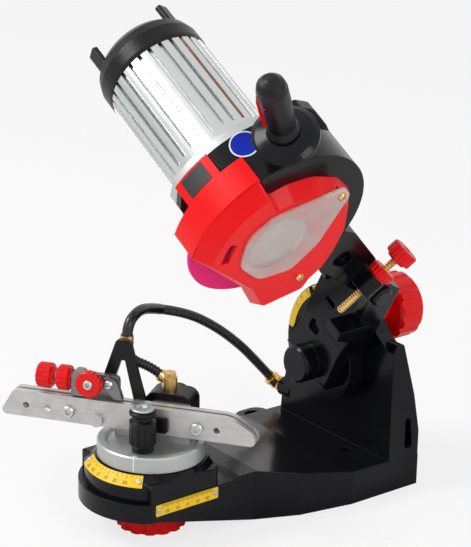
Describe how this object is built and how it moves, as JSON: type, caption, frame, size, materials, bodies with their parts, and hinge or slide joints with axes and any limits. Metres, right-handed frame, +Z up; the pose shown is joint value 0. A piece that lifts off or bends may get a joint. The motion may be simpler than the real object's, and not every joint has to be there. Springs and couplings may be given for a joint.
{
  "type": "chain sharpener",
  "caption": "Bench-mounted electric chain grinder: tilting, spring-returned motor head with guarded wheel over a swivelling self-clamping hydraulic chain vise.",
  "frame": {"origin": "middle between the two bench bolts, on the bench face", "axes": "+X to the operator's right, +Y to the rear, +Z up from the bench"},
  "size_m": [0.2796, 0.3298, 0.4254],
  "materials": {
    "black_paint": "gloss",
    "red_paint": "gloss",
    "red_plastic": "gloss",
    "black_plastic": "satin",
    "aluminium": "satin",
    "steel": "satin",
    "zinc": "bright",
    "brass": "satin",
    "yellow_plate": "satin",
    "black_plate": "satin",
    "blue_plate": "gloss",
    "clear": "gloss",
    "rubber_black": "matte",
    "pink_abrasive": "matte",
    "copper_winding": "satin"
  },
  "bodies": {
    "base": {"base_casting": "black_paint", "slide_scale": "yellow_plate", "tilt_scale": "yellow_plate", "master_cylinder": "black_paint", "base_fitting": "brass", "hose_ribbed": "rubber_black"},
    "vise_carriage": {"vise_carriage": "black_paint", "swivel_scale": "yellow_plate"},
    "bottom_knob": {"bottom_knob": "red_plastic"},
    "turntable": {"vise_disc": "aluminium", "swivel_stud": "steel", "jaw_post": "black_plastic", "rear_jaw": "zinc", "guide_bolts": "zinc", "clamp_cylinder": "black_paint", "cylinder_fitting": "brass", "hose_bracket": "black_paint", "hose_clip": "brass", "stop_bracket": "steel", "pawl_pin": "zinc", "hose_sleeve": "rubber_black", "hose_tail": "rubber_black"},
    "front_jaw": {"front_jaw": "zinc", "pull_rod": "black_paint"},
    "stop_screw": {"stop_screw": "zinc", "stop_screw_knob": "red_plastic"},
    "stop_lock_knob": {"stop_lock_knob": "red_plastic"},
    "clamp_knob": {"clamp_knob": "red_plastic", "clamp_screw": "zinc"},
    "chain_pawl": {"chain_pawl": "steel"},
    "cradle": {"tilt_cradle": "black_paint", "pivot_nut": "zinc", "swing_pin": "zinc", "tilt_stud": "steel"},
    "tilt_knob": {"tilt_knob": "red_plastic"},
    "head": {"head_casting": "black_paint", "wheel_guard": "red_paint", "front_cover": "red_paint", "lens": "clear", "guard_screws": "brass", "handle_grip": "black_plastic", "trigger_pin": "steel", "stator": "steel", "windings": "copper_winding", "motor_bell": "aluminium", "motor_bearings": "steel", "motor_body": "aluminium", "end_cap": "black_paint", "cord_gland": "rubber_black"},
    "trigger": {"switch_trigger": "red_plastic"},
    "depth_screw": {"depth_screw": "brass", "depth_knob": "red_plastic"},
    "depth_lock_knob": {"depth_lock_knob": "red_plastic"},
    "wheel": {"grinding_wheel": "pink_abrasive", "wheel_hub": "aluminium", "wheel_nut": "steel", "motor_shaft": "steel", "rotor": "steel", "cooling_fan": "black_plastic"}
  },
  "joints": [
    {"name": "vise_slide", "type": "slide", "parent": "base", "child": "vise_carriage", "axis": [0, 1, 0], "range_m": [-0.01, 0.01], "deforming": ["hose_ribbed", "hose_sleeve"]},
    {"name": "bottom_knob_turn", "type": "hinge", "parent": "vise_carriage", "child": "bottom_knob", "pos_m": [0.029, -0.182, 0.004], "axis": [0, 0, 1], "continuous": true},
    {"name": "vise_swivel", "type": "hinge", "parent": "vise_carriage", "child": "turntable", "pos_m": [0.029, -0.182, 0.062], "axis": [0, 0, 1], "range_deg": [-70, 0], "deforming": ["hose_ribbed", "hose_sleeve"]},
    {"name": "jaw_clamp", "type": "slide", "parent": "turntable", "child": "front_jaw", "axis": [-0.5736, 0.8192, 0], "range_m": [0, 0.0017]},
    {"name": "stop_screw_turn", "type": "hinge", "parent": "turntable", "child": "stop_screw", "pos_m": [-0.02891, -0.22133, 0.117], "axis": [0.8192, 0.5736, 0], "continuous": true},
    {"name": "stop_lock_turn", "type": "hinge", "parent": "turntable", "child": "stop_lock_knob", "pos_m": [-0.03219, -0.22363, 0.117], "axis": [0.8192, 0.5736, 0], "continuous": true},
    {"name": "clamp_knob_turn", "type": "hinge", "parent": "turntable", "child": "clamp_knob", "pos_m": [-0.00737, -0.21723, 0.119], "axis": [-0.5736, 0.8192, 0], "continuous": true},
    {"name": "pawl_flip", "type": "hinge", "parent": "turntable", "child": "chain_pawl", "pos_m": [-0.00049, -0.20265, 0.117], "axis": [-0.5736, 0.8192, 0], "range_deg": [-80, 0]},
    {"name": "head_tilt", "type": "hinge", "parent": "base", "child": "cradle", "pos_m": [0.029, -0.002, 0.1035], "axis": [0, 1, 0], "range_deg": [-29.5, 11.5]},
    {"name": "tilt_knob_turn", "type": "hinge", "parent": "cradle", "child": "tilt_knob", "pos_m": [0.054, 0.058, 0.1468], "axis": [0, 1, 0], "continuous": true},
    {"name": "head_swing", "type": "hinge", "parent": "cradle", "child": "head", "pos_m": [0.084, -0.009, 0.19876], "axis": [0.866, 0, -0.5], "range_deg": [0, 44], "stiffness_Nm_per_rad": 4, "springref_deg": -114.59},
    {"name": "wheel_spin", "type": "hinge", "parent": "head", "child": "wheel", "pos_m": [0.131, -0.147, 0.28017], "axis": [0.866, 0, -0.5], "continuous": true},
    {"name": "trigger_press", "type": "hinge", "parent": "head", "child": "trigger", "pos_m": [0.17877, -0.19339, 0.39085], "axis": [0.5687, -0.4567, -0.6841], "range_deg": [0, 5], "stiffness_Nm_per_rad": 0.05, "springref_deg": -5.73},
    {"name": "depth_screw_turn", "type": "hinge", "parent": "head", "child": "depth_screw", "pos_m": [0.09922, -0.046, 0.17612], "axis": [0.407, 0.581, 0.7049], "continuous": true},
    {"name": "depth_lock_turn", "type": "hinge", "parent": "head", "child": "depth_lock_knob", "pos_m": [0.11753, -0.01986, 0.20784], "axis": [0.407, 0.581, 0.7049], "continuous": true}
  ],
  "couplings": [
    {"joint": "jaw_clamp", "follows": "head_swing", "m_per_rad": 0.00221}
  ]
}
